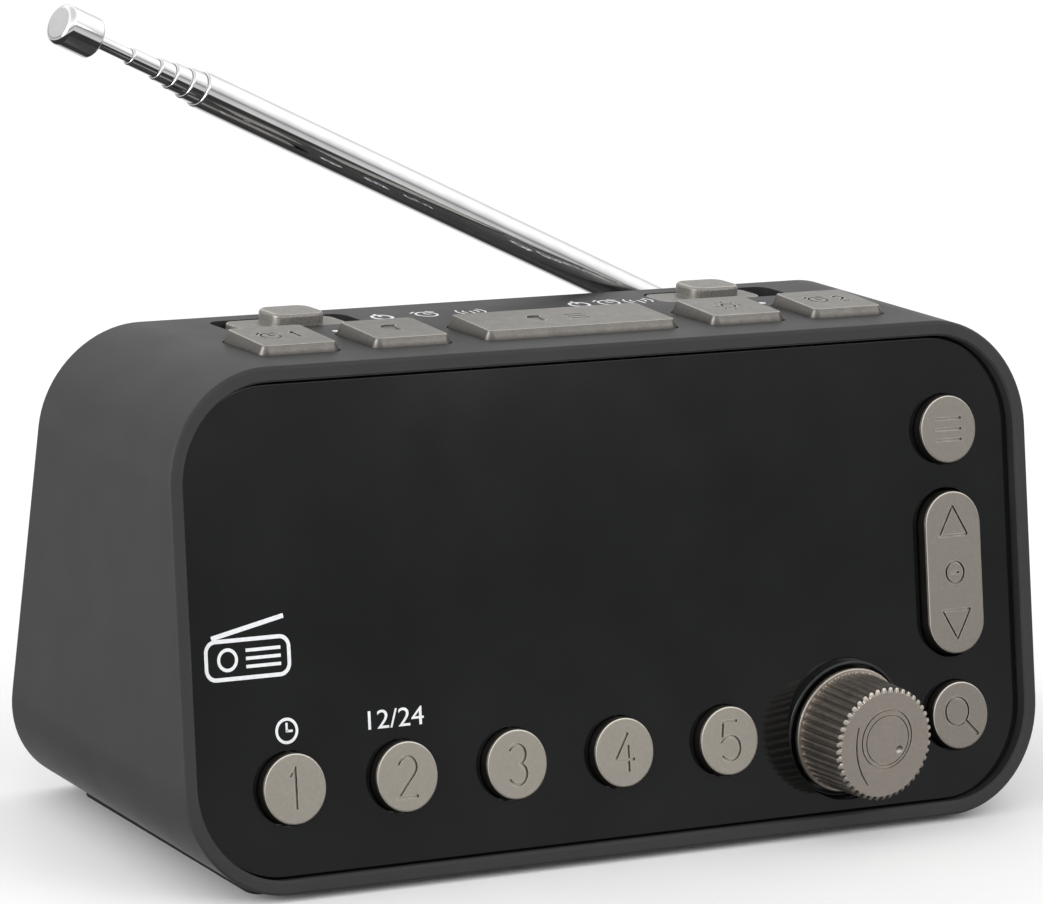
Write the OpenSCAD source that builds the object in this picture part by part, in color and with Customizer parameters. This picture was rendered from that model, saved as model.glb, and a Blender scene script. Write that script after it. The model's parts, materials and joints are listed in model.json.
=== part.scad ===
// Tabletop clock radio with a telescopic aerial, as it comes apart on a bench.
// +X is to the right of somebody facing the radio, +Y points to its back and +Z up.
// The origin lies on the table, under the middle of the radio with its knob and its folded aerial.

/* [Body] */
// Width of the cabinet at its front edge
body_w = 155; // [152:0.5:165]
// Depth of the cabinet along its underside
body_d = 61.5; // [60:0.5:70]
// Height of the front face, measured along the face
face_h = 77.7; // [77:0.1:82]
// How far the front face leans back from upright, in degrees
front_lean = 13.1; // [12:0.1:14]
// How far the back leans forward from upright, in degrees
back_lean = 4.4; // [3:0.1:6]
// How far the top falls towards the back, in degrees
top_fall = 3.1; // [2:0.1:4]
// How far each side closes in towards the back, in degrees
side_draft = 1.43; // [0.5:0.01:2]
// Radius of the four corners, seen from the front
front_corner = 17.2; // [15:0.1:19]
// Radius of the four corners, seen from the back
rear_corner = 15.6; // [14:0.1:17]
// Thickness of the cabinet wall
wall = 2.4; // [2:0.1:2.8]
// Height of the two rubber foot strips
foot_h = 1; // [0.6:0.1:2]
// How far the middle of the cabinet lies behind the middle of the whole radio
set_back = 1.3; // [0:0.1:3]

/* [Front panel] */
// Width of the rim round the lens
rim = 2.3; // [2.1:0.1:2.3]
// How far the glossy lens sits behind the rim
lens_recess = 1.8; // [1.5:0.1:2.2]
// Thickness of the lens
lens_t = 1.5; // [1.2:0.1:1.8]
// Height of the lower row of buttons above the bottom of the face
row_v = 15.6; // [15.2:0.1:16.5]
// Radius of each round button
button_r = 5.4; // [4.8:0.1:5.8]
// Spacing of the five preset buttons
preset_pitch = 19.34; // [18:0.01:19.6]
// Sideways place of the first preset button
preset_u = -58.9; // [-60:0.01:-57]
// How far a round button stands out of the lens
button_out = 1.7; // [0.8:0.1:1.8]
// Sideways place of the column of keys at the right
column_u = 62.5; // [61:0.1:63]
// Height of the mode button above the bottom of the face
mode_v = 60.6; // [58:0.1:62]
// Height of the middle of the rocker key
rocker_v = 38.1; // [36:0.1:40]
// Length of the rocker key
rocker_len = 25.7; // [22:0.1:27]
// Travel of a front button
button_travel = 0.7; // [0.4:0.1:0.7]
// Sideways place of the volume knob
knob_u = 41.5; // [40:0.1:42]
// Height of the volume knob above the bottom of the face
knob_v = 15.3; // [15:0.1:16.5]
// How far the knob points down from square to the face, in degrees
knob_tilt = 10.5; // [9:0.1:12]

/* [Top keys] */
// Distance of the keys behind the front top edge
key_front = 7.5; // [7:0.1:9]
// Depth of the keys, front to back
key_d = 12.4; // [10:0.1:13]
// Width of the four small keys
key_w = 13.8; // [12:0.1:14.5]
// Width of the wide snooze key
snooze_w = 35; // [30:0.5:36]
// How far the keys stand out of the top at their middle
key_out = 1.65; // [1:0.05:2]
// Travel of a top key
key_travel = 0.6; // [0.4:0.1:0.6]
// Distance of the slide switches behind the front top edge
slide_y = 30.6; // [29:0.1:31]
// Travel from one position of a slide switch to the next
slide_step = 2.4; // [2:0.1:2.4]

/* [Aerial] */
// Outer diameter of the widest tube
tube_d = 5.8; // [5.6:0.1:6.4]
// How much thinner each following tube is
tube_step = 0.75; // [0.68:0.01:0.8]
// Swing of the aerial above level, in degrees
aerial_swing = 23.8; // [0:0.1:90]

/* [Hidden] */
$fn = 64;
gap = 0.25;                       // moulding gap round a part that is pushed in
skin = 1;                         // thickness of the slices that the cabinet is drawn between
foot_x = 61;
foot_w = 7;
foot_len = 52;
foot_sunk = 0.6;

// Planes of the body, seen from the side
top_front_y = face_h*sin(front_lean);
top_front_z = face_h*cos(front_lean);
front_y = set_back - body_d/2;
rear_z = (top_front_z - (body_d - top_front_y)*tan(top_fall)) / (1 - tan(back_lean)*tan(top_fall));
rear_h = rear_z/cos(back_lean);
rear_y = body_d - rear_z*tan(back_lean);
rear_w = body_w - (body_d + rear_y)*tan(side_draft);

// Front panel: depths are measured from the plane of the face, negative inside
preset_count = 5;
lens_w = body_w - 2*rim - 2*gap;
lens_h = face_h - 2*rim - 2*gap;
lens_r = front_corner - rim - gap;
lens_front = -lens_recess;
lens_back = lens_front - lens_t;
frame_front = lens_back - 0.1;
frame_back = frame_front - 1.6;
skirt_inset = 2.5;
skirt_end = -9;
face_pcb_front = -11.1;
pcb_t = 1.2;
button_front = lens_front + button_out;
flange_t = 1;
button_seat = frame_back - 0.2;
stem_end = button_seat - flange_t - 1.2;
stem_r = 1.7;
rocker_axis = frame_back - 0.7;
rocker_stem = 9;                  // distance of the rocker's two stems from its hinge
display_at = [-8, 49, 0];
face_posts = [[-66, 63], [50, 63], [-66, 28], [50, 33]];

// Top: depths are measured from the top plane
key_x = [-49.8, -30.2, 0.2, 30.8, 49.8];
key_corner = 1.4;
key_seat = -2.55;
key_flange_t = 0.9;
key_stem_end = key_seat - key_flange_t - 1.55;
slot_x = [-39, 39.9];
slot_len = 24;
slot_w = 7.8;
plate_len = slot_len - 2*slide_step - 0.2;
plate_w = slot_w - 0.6;
cap_shift = 0.8;                  // the finger cap sits a little right of its plate's middle
cap_size = 9;
top_pcb_top = -9.6;
top_posts = [[-20.3, 13.5], [20.8, 13.5], [-56, 30.6], [56, 30.6]];

// Back: depths are measured from the back plane
cover_gap = 0.4;
cover_out = -0.6;
cover_in = cover_out - 2.2;
board_back = -15.2;
board_posts = [[-57, 9], [-57, 49], [-10, 9], [-10, 49]];
boss_len = 14;
boss_r = 3.4;
boss_off = 7.2;                   // boss centre from the centre of the corner's curve
screw_r = 1.2;
jack_x = [-48, -35];
jack_v = 14;

// Speaker, with its lugs at the corners of a square
speaker_x = 26;
speaker_v = 31;
speaker_r = 25;
speaker_lug = 29;
speaker_seat = cover_in - 4;

// Aerial, measured from its pivot along the tubes
aerial_x = 61;
aerial_v = 59;
aerial_out = 4;
aerial_len = 150.7;
tube_wall = 0.32;
tube_count = 5;
tube_start = [6, 10, 13, 16, 22];
tube_end = [123.5, 126.2, 129.1, 131.9, 137.1];
rod_start = 28;
cap_start = 144.1;
pin_r = 1.2;
shaft_r = 2.95;

// Volume knob, measured along its own axis from the surface of the lens
knob_out = 10.4;
knob_r = 8.95;
knob_root_r = 9.3;
knob_base = 1.2;
base_r = 9.9;
collar_r = 10.86;
collar_out = 0.1;
spindle_r = 3;
ribs = 44;

function preset_x(i) = preset_u + i*preset_pitch;
function top_key_w(i) = i == 2 ? snooze_w : key_w;
function slider_x(i) = slot_x[i] - i*slide_step;
function tube_r(i) = (tube_d - i*tube_step)/2;

// ---- frames: each has +z out of its surface ----

// The front face: x to the right, y up the face from its bottom edge
module on_face() {
    translate([0, front_y, foot_h]) rotate([90 - front_lean, 0, 0]) children();
}

// The top: x to the right, y towards the back from the front top edge
module on_top() {
    translate([0, front_y + top_front_y, foot_h + top_front_z]) rotate([-top_fall, 0, 0]) children();
}

// The back: x to the right of somebody behind the radio, y up from its bottom edge
module on_back() {
    translate([0, front_y + body_d, foot_h]) rotate([0, 0, 180]) rotate([90 - back_lean, 0, 0]) children();
}

// The volume knob's axis, from the surface of the lens
module on_knob() {
    on_face() translate([knob_u, knob_v, lens_front]) rotate([knob_tilt, 0, 0]) children();
}

// The aerial: x along the tubes from the pivot, z out of the back
module on_aerial() {
    on_back() translate([-aerial_x, aerial_v, aerial_out]) rotate([0, 0, aerial_swing]) children();
}

// ---- small shapes ----

module round_rect(w, h, r) {
    square([w - 2*r, h], center = true);
    square([w, h - 2*r], center = true);
    for (sx = [-1, 1], sy = [-1, 1]) translate([sx*(w/2 - r), sy*(h/2 - r)]) circle(r);
}

module slab(w, h, r, z0, z1) {
    translate([0, 0, z0]) linear_extrude(z1 - z0) round_rect(w, h, r);
}

module rod(r, z0, z1) {
    translate([0, 0, z0]) cylinder(r = r, h = z1 - z0);
}

module box(x0, x1, y0, y1, z0, z1) {
    translate([x0, y0, z0]) cube([x1 - x0, y1 - y0, z1 - z0]);
}

// A pan-head screw whose head sits on z = 0, with the shank going down
module screw(head_r, head_h, r, len) {
    rod(head_r, 0, head_h);
    rod(r, -len, 0);
}

// The tapered block between the face and the back, shrunk by inset on its four sides.
// shift moves its two end slices outwards, so that a hollow runs past both ends.
module body_block(inset, shift) {
    hull() {
        on_face() translate([0, face_h/2, 0])
            slab(body_w - 2*inset, face_h - 2*inset, front_corner - inset, shift - skin, shift, $fn = 48);
        on_back() translate([0, rear_h/2, 0])
            slab(rear_w - 2*inset, rear_h - 2*inset, rear_corner - inset, shift - skin, shift, $fn = 48);
    }
}

// Places children at the four rear screws
module at_rear_screws() {
    x = rear_w/2 - rear_corner + boss_off;
    y = rear_h/2 - rear_corner + boss_off;
    on_back() for (sx = [0, 1], sy = [0, 1]) translate([0, rear_h/2, 0])
        mirror([sx, 0, 0]) mirror([0, sy, 0]) translate([x, y, 0]) children();
}

// Places children at the four lugs of the speaker, on the plane it is seated on
module at_lugs() {
    on_speaker() for (a = [45 : 90 : 315]) rotate(a) translate([speaker_lug, 0, 0]) children();
}

module on_speaker() {
    on_back() translate([speaker_x, speaker_v, speaker_seat]) children();
}

// ---- cabinet, lens, frame and cover ----

// The sleeve open at the front and the back, with its screw bosses and the posts of the top board
module cabinet() {
    color([0.33, 0.33, 0.33]) difference() {
        union() {
            difference() {
                body_block(0, 0);
                body_block(wall, skin);
            }
            at_rear_screws() {
                rod(boss_r, cover_in - boss_len, cover_in);
                rotate(45) box(1, 4.2, -1.2, 1.2, cover_in - boss_len + 1, cover_in - 0.5);
            }
            on_top() at_points(top_posts) rod(2, top_pcb_top, -1);
        }
        on_face() translate([0, face_h/2, 0])
            slab(lens_w + 2*gap, lens_h + 2*gap, lens_r + gap, frame_back, skin);
        at_rear_screws() rod(screw_r + 0.03, cover_in - boss_len + 2, skin);
        on_top() {
            at_points(top_posts) rod(1.03, top_pcb_top - 1, -3);
            for (i = [0 : len(key_x) - 1]) translate([key_x[i], key_front + key_d/2, 0])
                slab(top_key_w(i) + 2*gap, key_d + 2*gap, key_corner + gap, -2*wall, skin);
            for (x = slot_x) translate([x, slide_y, 0]) slab(slot_len, slot_w, 2.2, -2*wall, skin);
        }
        at_feet() slab(foot_w + 0.2, foot_len + 0.2, 2.1, -1, foot_h + foot_sunk);
    }
}

module at_feet() {
    for (s = [-1, 1]) translate([s*foot_x, set_back, 0]) children();
}

module at_points(places) {
    for (p = places) translate([p.x, p.y, 0]) children();
}

// Places children at the seven round buttons of the face
module at_buttons() {
    for (i = [0 : preset_count - 1]) translate([preset_x(i), row_v, 0]) children();
    for (v = [row_v, mode_v]) translate([column_u, v, 0]) children();
}

// Cuts the openings of the keys of the face between the depths z0 and z1
module key_openings(z0, z1) {
    at_buttons() rod(button_r + gap, z0, z1);
    translate([column_u, rocker_v, 0])
        slab(2*button_r + 0.8, rocker_len + 1, button_r + 0.3, z0, z1);
}

module front_lens() {
    color([0.10, 0.105, 0.105]) difference() {
        on_face() difference() {
            translate([0, face_h/2, 0]) slab(lens_w, lens_h, lens_r, lens_back, lens_front);
            key_openings(lens_back - 1, lens_front + 1);
        }
        on_knob() rod(collar_r + 0.05, -8, 6);
    }
}

// The carrier behind the lens: a plate, a skirt round it, posts for the boards and the rocker's ears
module front_frame() {
    inset = 2*skirt_inset;
    color([0.07, 0.07, 0.07]) difference() {
        union() {
            on_face() {
                translate([0, face_h/2, 0]) slab(lens_w, lens_h, lens_r, frame_back, frame_front);
                translate([0, face_h/2, 0]) difference() {
                    slab(lens_w - inset, lens_h - inset, lens_r - inset/2, skirt_end, frame_back);
                    slab(lens_w - inset - 3, lens_h - inset - 3, lens_r - inset/2 - 1.5,
                        skirt_end - 1, frame_back);
                }
                at_points(face_posts) rod(2.4, face_pcb_front, frame_back);
                for (s = [-1, 1]) translate([column_u + s*(button_r + 1.6), rocker_v, 0])
                    box(-0.8, 0.8, -2.2, 2.2, frame_back - 2.8, frame_back);
            }
            for (sx = [-1, 1], y = [-7, 7]) on_knob() translate([sx*11.6, y, 0])
                rod(1.8, -12.5, (frame_back - lens_front - y*sin(knob_tilt))/cos(knob_tilt) + 0.5);
        }
        on_face() {
            key_openings(frame_back - 1, frame_front + 1);
            translate(display_at) slab(92.6, 34.6, 1, frame_back - 1, frame_front + 1);
            at_points(face_posts) rod(1.03, face_pcb_front - 1, frame_back - 1);
            translate([column_u, rocker_v, rocker_axis]) rotate([0, 90, 0])
                rod(1.05, -button_r - 3, button_r + 3);
        }
        on_knob() rod(collar_r + 0.05, -6.2, 6);
    }
}

module rear_cover() {
    inset = 2*wall + 2*cover_gap;
    color([0.16, 0.16, 0.165]) difference() {
        union() {
            on_back() {
                translate([0, rear_h/2, 0])
                    slab(rear_w - inset, rear_h - inset, rear_corner - inset/2, cover_in, cover_out);
                at_points(board_posts) rod(2.4, board_back, cover_in);
                translate([-aerial_x, aerial_v, 0]) rod(5, cover_in - 1, cover_in);
            }
            at_lugs() rod(2.4, 0, cover_in - speaker_seat);
        }
        on_back() {
            at_points(board_posts) rod(1.03, board_back - 1, cover_in - 1);
            translate([-aerial_x, aerial_v, 0]) rod(shaft_r + 0.05, cover_in - 2, skin);
            translate([jack_x[0], jack_v, 0]) rod(5.2, cover_in - 1, skin);
            translate([jack_x[1], jack_v, 0]) rod(4.2, cover_in - 1, skin);
        }
        at_lugs() rod(1.03, -1, 3.5);
        on_speaker() grille();
        at_rear_screws() {
            rod(screw_r + 0.25, cover_in - 1, skin);
            rod(3, cover_out - 1, skin);
        }
    }
}

// Slots in front of the speaker, cut to the length of the circle they fill
module grille() {
    for (y = [-20 : 4 : 20]) {
        half = sqrt(22*22 - y*y);
        box(-half, half, y - 0.9, y + 0.9, 1, 8);
    }
}

module foot_strips() {
    color([0.06, 0.06, 0.06]) at_feet() slab(foot_w, foot_len, 2, 0, foot_h + foot_sunk);
}

module rear_screws() {
    color([0.2, 0.2, 0.2]) at_rear_screws() translate([0, 0, cover_out - 1]) difference() {
        screw(2.7, 0.9, screw_r, 12);
        for (a = [0, 90]) rotate(a) box(-1.4, 1.4, -0.3, 0.3, 0.3, 1);
    }
}

// ---- front buttons and rocker ----

// A turned cap, the flange that stops it behind the frame and the stem that works its switch
module round_button() {
    color([0.55, 0.53, 0.50]) {
        rod(button_r, button_seat, button_front);
        rod(button_r + 1.2, button_seat - flange_t, button_seat);
        rod(stem_r, stem_end, button_seat - flange_t);
    }
}

module preset_key(i) {
    on_face() translate([preset_x(i), row_v, 0]) round_button();
}

module mode_key() {
    on_face() translate([column_u, mode_v, 0]) round_button();
}

module search_key() {
    on_face() translate([column_u, row_v, 0]) round_button();
}

module rocker_key() {
    inner = frame_back - 1.6;
    color([0.50, 0.49, 0.46]) on_face() translate([column_u, rocker_v, 0]) {
        slab(2*button_r, rocker_len, button_r - 0.1, inner, 0);
        for (s = [-1, 1]) translate([0, s*rocker_stem, 0]) rod(stem_r, stem_end, inner + 0.5);
        translate([0, 0, rocker_axis]) rotate([0, 90, 0]) rod(1, -button_r - 2.2, button_r + 2.2);
    }
}

// ---- volume knob and encoder ----

module knob_collar() {
    color([0.05, 0.05, 0.05]) on_knob() difference() {
        rod(collar_r, -6, collar_out);
        rod(base_r + 0.35, -1.4, collar_out + 1);
        rod(3.6, -7, 0);
    }
}

module volume_knob() {
    color([0.55, 0.52, 0.49]) on_knob() difference() {
        union() {
            rod(base_r, 0.4, knob_base);
            translate([0, 0, knob_base]) cylinder(r1 = knob_root_r, r2 = knob_r, h = knob_out - knob_base);
        }
        rod(spindle_r + 0.02, 0, 8.5);
        difference() {
            rod(knob_r - 1.4, 0, 8.4);
            rod(spindle_r + 1.6, -1, 9);
        }
        for (i = [0 : ribs - 1]) rotate(i*360/ribs) translate([knob_root_r, 0, knob_base])
            rotate([0, -atan((knob_root_r - knob_r)/(knob_out - knob_base)), 0]) rotate(45)
                box(-0.25, 0.25, -0.25, 0.25, 0, knob_out);
    }
}

module encoder_shaft() {
    color([0.7, 0.7, 0.72]) on_knob() rod(spindle_r, -9, 8.4);
}

module encoder_body() {
    color([0.45, 0.46, 0.47]) on_knob() difference() {
        union() {
            rod(3.5, -6, 0);
            box(-6.2, 6.2, -6.4, 6.4, -12.5, -6);
        }
        rod(spindle_r + 0.05, -9.2, 1);
    }
}

module encoder_board() {
    color([0.10, 0.30, 0.16]) on_knob() box(-13.6, 13.6, -9, 9, -13.7, -12.5);
}

// ---- top keys and slide switches ----

// The cap of a key is level, so it stands higher at the back, where the top falls away
module top_key(i) {
    w = top_key_w(i);
    seat = key_seat - key_flange_t;
    color([0.58, 0.57, 0.55]) on_top() translate([key_x[i], key_front + key_d/2, 0]) {
        difference() {
            slab(w, key_d, key_corner, key_seat, key_out + 1);
            translate([0, 0, key_out]) rotate([top_fall, 0, 0]) box(-w, w, -key_d, key_d, 0, 4);
        }
        slab(w + 1.4, key_d + 1.4, key_corner, seat, key_seat);
        rod(stem_r, key_stem_end, seat);
    }
}

// The plate in the slot with its finger cap, and the peg that moves the contact of the switch
module alarm_slider(i) {
    seat = key_seat - key_flange_t;
    color([0.56, 0.55, 0.54]) on_top() translate([slider_x(i), slide_y, 0]) {
        slab(plate_len, plate_w, 1.9, key_seat, -0.05);
        slab(plate_len, plate_w + 1.8, 1.9, seat, key_seat);
        translate([cap_shift, 0, 0]) slab(cap_size, plate_w, 1, -0.05, 1.9);
        box(-1, 1, -1, 1, seat - 3.4, seat);
    }
}

module slide_switch(i) {
    color([0.62, 0.63, 0.65]) on_top() translate([slot_x[i], slide_y, 0]) difference() {
        box(-6.5, 6.5, -2.6, 2.6, top_pcb_top, -5);
        box(-4, 4, -1.4, 1.4, -8, -4);
    }
}

// ---- display and boards ----

module display_glass() {
    color([0.08, 0.10, 0.14]) on_face() translate(display_at)
        slab(92, 34, 0.6, frame_front - 2, frame_front);
}

module backlight() {
    color([0.85, 0.85, 0.82]) on_face() translate(display_at)
        slab(96, 37, 1.5, face_pcb_front, frame_front - 2.1);
}

// The board of the front keys, cut away round the encoder, with the ribbon's socket on its back
module face_board() {
    back = face_pcb_front - pcb_t;
    color([0.10, 0.30, 0.16]) on_face() difference() {
        union() {
            translate([0, 37.1, 0]) slab(142, 60.4, 10, back, face_pcb_front);
            box(49, 61, 44, 48, back - 3, back);
        }
        box(knob_u - 14.2, knob_u + 14.2, 0, 29.5, back - 1, face_pcb_front + 1);
        at_points(face_posts) rod(1.2, back - 1, face_pcb_front + 1);
    }
}

// A push switch on the plane z0: a square body with a round plunger
module push_switch(z0, top) {
    box(-3, 3, -3, 3, z0, top - 0.8);
    rod(stem_r, z0, top);
}

module face_switches() {
    top = stem_end - button_travel - 0.05;
    color([0.12, 0.12, 0.12]) on_face() {
        at_buttons() push_switch(face_pcb_front, top);
        for (s = [-1, 1]) translate([column_u, rocker_v + s*rocker_stem, 0])
            push_switch(face_pcb_front, top);
    }
}

module top_board() {
    color([0.10, 0.30, 0.16]) on_top() difference() {
        box(-58.5, 58.5, 8.5, 34.2, top_pcb_top - pcb_t, top_pcb_top);
        at_points(top_posts) rod(1.2, top_pcb_top - 2, top_pcb_top + 1);
    }
}

module top_switches() {
    color([0.12, 0.12, 0.12]) on_top() for (x = key_x) translate([x, key_front + key_d/2, 0])
        push_switch(top_pcb_top, key_stem_end - key_travel - 0.05);
}

module main_board() {
    front = board_back - pcb_t;
    color([0.10, 0.30, 0.16]) on_back() difference() {
        union() {
            box(-60.5, -6, 5, 53, front, board_back);
            box(-61, -49, 40, 44, front - 3, front);
        }
        at_points(board_posts) rod(1.2, front - 1, board_back + 1);
    }
}

module tuner_module() {
    front = board_back - pcb_t;
    color([0.78, 0.79, 0.80]) on_back() box(-46, -18, 22, 44, front - 3.4, front);
}

// The round socket for the mains adaptor, with the contact pin in its middle
module power_jack() {
    color([0.05, 0.05, 0.05]) on_back() translate([jack_x[0], jack_v, 0]) {
        difference() {
            union() {
                rod(5, -4.5, -0.8);
                box(-5, 5, -5.6, 5.6, board_back, -4.5);
            }
            rod(2.9, -12, 0);
        }
        rod(1, -12.5, -2);
    }
}

module headphone_jack() {
    color([0.06, 0.06, 0.06]) on_back() translate([jack_x[1], jack_v, 0]) difference() {
        union() {
            rod(4, -4.5, -0.8);
            box(-4, 4, -5.6, 5.6, board_back, -4.5);
        }
        rod(1.8, -14, 0);
    }
}

module capacitors() {
    color([0.12, 0.14, 0.30]) on_back() at_points([[-50, 30], [-50, 40], [-16, 36]])
        rod(3.1, board_back, board_back + 8);
}

// The small screws that hold the three boards to their posts
module board_screws() {
    color([0.75, 0.75, 0.76]) {
        on_face() at_points(face_posts) board_screw(face_pcb_front - pcb_t);
        on_back() at_points(board_posts) board_screw(board_back - pcb_t);
        on_top() at_points(top_posts) board_screw(top_pcb_top - pcb_t);
    }
}

module board_screw(z) {
    translate([0, 0, z]) mirror([0, 0, 1]) screw(2, 1.3, 1, 5);
}

// A flat cable that hangs in one loop between the sockets of the face board and the main board
module ribbon_cable() {
    reach = 6.4;
    top = 45;
    low = 30;
    color([0.86, 0.86, 0.84]) translate([50, set_back, 0]) rotate([90, 0, 90]) linear_extrude(10)
        translate([1.5, low]) {
            difference() {
                circle(reach);
                circle(reach - 0.4);
                translate([-reach - 1, 0]) square([2*reach + 2, reach + 1]);
            }
            for (x = [-reach, reach - 0.4]) translate([x, 0]) square([0.4, top - low]);
        }
}

// Two wires from the edge of the main board to the speaker
module speaker_leads() {
    z = board_back + 0.7;
    color([0.7, 0.1, 0.1]) on_back() for (y = [42, 44]) translate([-8, y, z]) {
        rotate([0, 90, 0]) rod(0.6, 0, 16);
        sphere(0.6);
    }
}

// ---- speaker ----

module speaker_basket() {
    color([0.30, 0.30, 0.31]) {
        difference() {
            union() {
                on_speaker() rod(speaker_r, -1.2, 0);
                on_speaker() translate([0, 0, -10]) cylinder(r1 = 14, r2 = 24, h = 9);
                at_lugs() {
                    rod(3, -1.2, 0);
                    box(-7, 0, -3, 3, -1.2, 0);
                }
            }
            on_speaker() translate([0, 0, -9.4]) cylinder(r1 = 13, r2 = 23.5, h = 10);
            on_speaker() rod(9, -11, 0);
            at_lugs() rod(1.2, -2, 1);
        }
    }
}

module speaker_magnet() {
    color([0.22, 0.22, 0.23]) on_speaker() {
        rod(14, -11, -10);
        rod(15, -16, -11);
        rod(14, -17, -16);
    }
}

module speaker_cone() {
    color([0.12, 0.12, 0.12]) on_speaker() rotate_extrude() polygon([
        [0, -7.6], [8.5, -8.6], [21.3, -0.6], [22.6, 0], [24.4, 0],
        [24.4, 0.4], [22.4, 0.5], [20.9, 0.2], [8.3, -7.8], [0, -6.9]]);
}

module speaker_screws() {
    color([0.75, 0.75, 0.76]) at_lugs() translate([0, 0, -1.2]) mirror([0, 0, 1]) screw(2, 1.3, 1, 4.2);
}

// ---- aerial ----

// The swivel: a shaft through the cover, a disc and the fork that holds the first tube
module aerial_base() {
    color([0.72, 0.72, 0.74]) on_aerial() {
        translate([0, 0, -aerial_out]) {
            rod(shaft_r, cover_in - 3.6, 0);
            rod(5.6, cover_out + 0.1, 0.9);
        }
        difference() {
            intersection() {
                translate([0, 0, -aerial_out]) rod(5.6, 0.5, aerial_out + 4);
                union() {
                    rotate([90, 0, 0]) rod(3.1, -6, 6);
                    box(-3.1, 3.1, -6, 6, 0.5 - aerial_out, 0);
                }
            }
            box(-7, 7, -1.35, 1.35, 0.9 - aerial_out, 8);
            rotate([90, 0, 0]) rod(pin_r + 0.02, -7, 7);
        }
    }
}

module aerial_clip() {
    color([0.6, 0.6, 0.62]) on_aerial() translate([0, 0, -aerial_out]) difference() {
        rod(4.4, cover_in - 2.2, cover_in - 1.2);
        rod(shaft_r + 0.02, cover_in - 4, cover_in);
    }
}

module aerial_pin() {
    color([0.75, 0.75, 0.77]) on_aerial() rotate([90, 0, 0]) rod(pin_r, -4.6, 4.6);
}

// Lies along the aerial: a tube from s0 to s1
module pipe(r, hole_r, s0, s1) {
    on_aerial() rotate([0, 90, 0]) difference() {
        rod(r, s0, s1);
        rod(hole_r, s0 - 1, s1 + 1);
    }
}

// Tube i, counted from the widest
module aerial_tube(i) {
    color([0.82, 0.82, 0.83]) pipe(tube_r(i), tube_r(i) - tube_wall, tube_start[i], tube_end[i]);
}

// The widest tube, with the solid root and the tongue that the pin goes through
module aerial_first_tube() {
    aerial_tube(0);
    color([0.82, 0.82, 0.83]) on_aerial() difference() {
        union() {
            rotate([0, 90, 0]) rod(tube_r(0), 4.4, tube_start[0]);
            rotate([90, 0, 0]) rod(2.4, -1.2, 1.2);
            box(0, 4.6, -1.2, 1.2, -2.4, 2.4);
        }
        rotate([90, 0, 0]) rod(pin_r + 0.05, -3, 3);
    }
}

module aerial_rod() {
    color([0.8, 0.8, 0.8]) on_aerial() rotate([0, 90, 0]) rod(tube_r(tube_count), rod_start, cap_start);
}

module aerial_cap() {
    r = 3.2;
    edge = 0.7;
    tip = aerial_len - cap_start;
    color([0.82, 0.82, 0.83]) on_aerial() rotate([0, 90, 0]) translate([0, 0, cap_start]) rotate_extrude()
        polygon([[0, 0], [r - edge, 0], [r, edge], [r, tip - edge], [r - edge, tip], [0, tip]]);
}

// ---- the nodes ----

cabinet();
front_lens();
front_frame();
rear_cover();
foot_strips();
rear_screws();
preset_key(0);  // preset_key_1
preset_key(1);  // preset_key_2
preset_key(2);  // preset_key_3
preset_key(3);  // preset_key_4
preset_key(4);  // preset_key_5
mode_key();
rocker_key();
search_key();
knob_collar();
volume_knob();
encoder_shaft();
encoder_body();
encoder_board();
top_key(0);  // alarm_1_key
top_key(1);  // sleep_key
top_key(2);  // snooze_key
top_key(3);  // light_key
top_key(4);  // alarm_2_key
alarm_slider(0);  // alarm_1_slider
alarm_slider(1);  // alarm_2_slider
slide_switch(0);  // slide_switch_1
slide_switch(1);  // slide_switch_2
display_glass();
backlight();
face_board();
face_switches();
top_board();
top_switches();
main_board();
tuner_module();
power_jack();
headphone_jack();
capacitors();
board_screws();
ribbon_cable();
speaker_leads();
speaker_basket();
speaker_magnet();
speaker_cone();
speaker_screws();
aerial_base();
aerial_clip();
aerial_pin();
aerial_first_tube();  // aerial_tube_1
aerial_tube(1);  // aerial_tube_2
aerial_tube(2);  // aerial_tube_3
aerial_tube(3);  // aerial_tube_4
aerial_tube(4);  // aerial_tube_5
aerial_rod();
aerial_cap();
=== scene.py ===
"""The looks of a tabletop clock radio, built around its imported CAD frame.

Every solid is drawn in millimetres in the plane that it belongs to, and then placed in the frame.
"""

import json
from math import cos, pi, radians, sin, sqrt, tan

import bmesh
import bpy
from mathutils import Matrix, Vector


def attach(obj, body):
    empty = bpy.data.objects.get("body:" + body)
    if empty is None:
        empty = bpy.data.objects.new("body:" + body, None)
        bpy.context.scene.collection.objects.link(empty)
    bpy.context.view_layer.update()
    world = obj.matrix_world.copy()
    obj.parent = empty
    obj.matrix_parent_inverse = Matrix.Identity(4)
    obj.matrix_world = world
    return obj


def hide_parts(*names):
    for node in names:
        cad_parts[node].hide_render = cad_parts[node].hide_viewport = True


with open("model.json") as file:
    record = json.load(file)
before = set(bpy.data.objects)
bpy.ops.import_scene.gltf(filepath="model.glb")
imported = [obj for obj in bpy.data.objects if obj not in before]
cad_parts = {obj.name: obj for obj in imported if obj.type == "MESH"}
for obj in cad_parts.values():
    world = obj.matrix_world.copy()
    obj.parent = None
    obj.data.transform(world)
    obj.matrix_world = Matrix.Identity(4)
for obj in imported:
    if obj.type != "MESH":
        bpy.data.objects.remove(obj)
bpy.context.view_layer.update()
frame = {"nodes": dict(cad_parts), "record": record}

# ---- sizes, in millimetres and degrees ----

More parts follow.
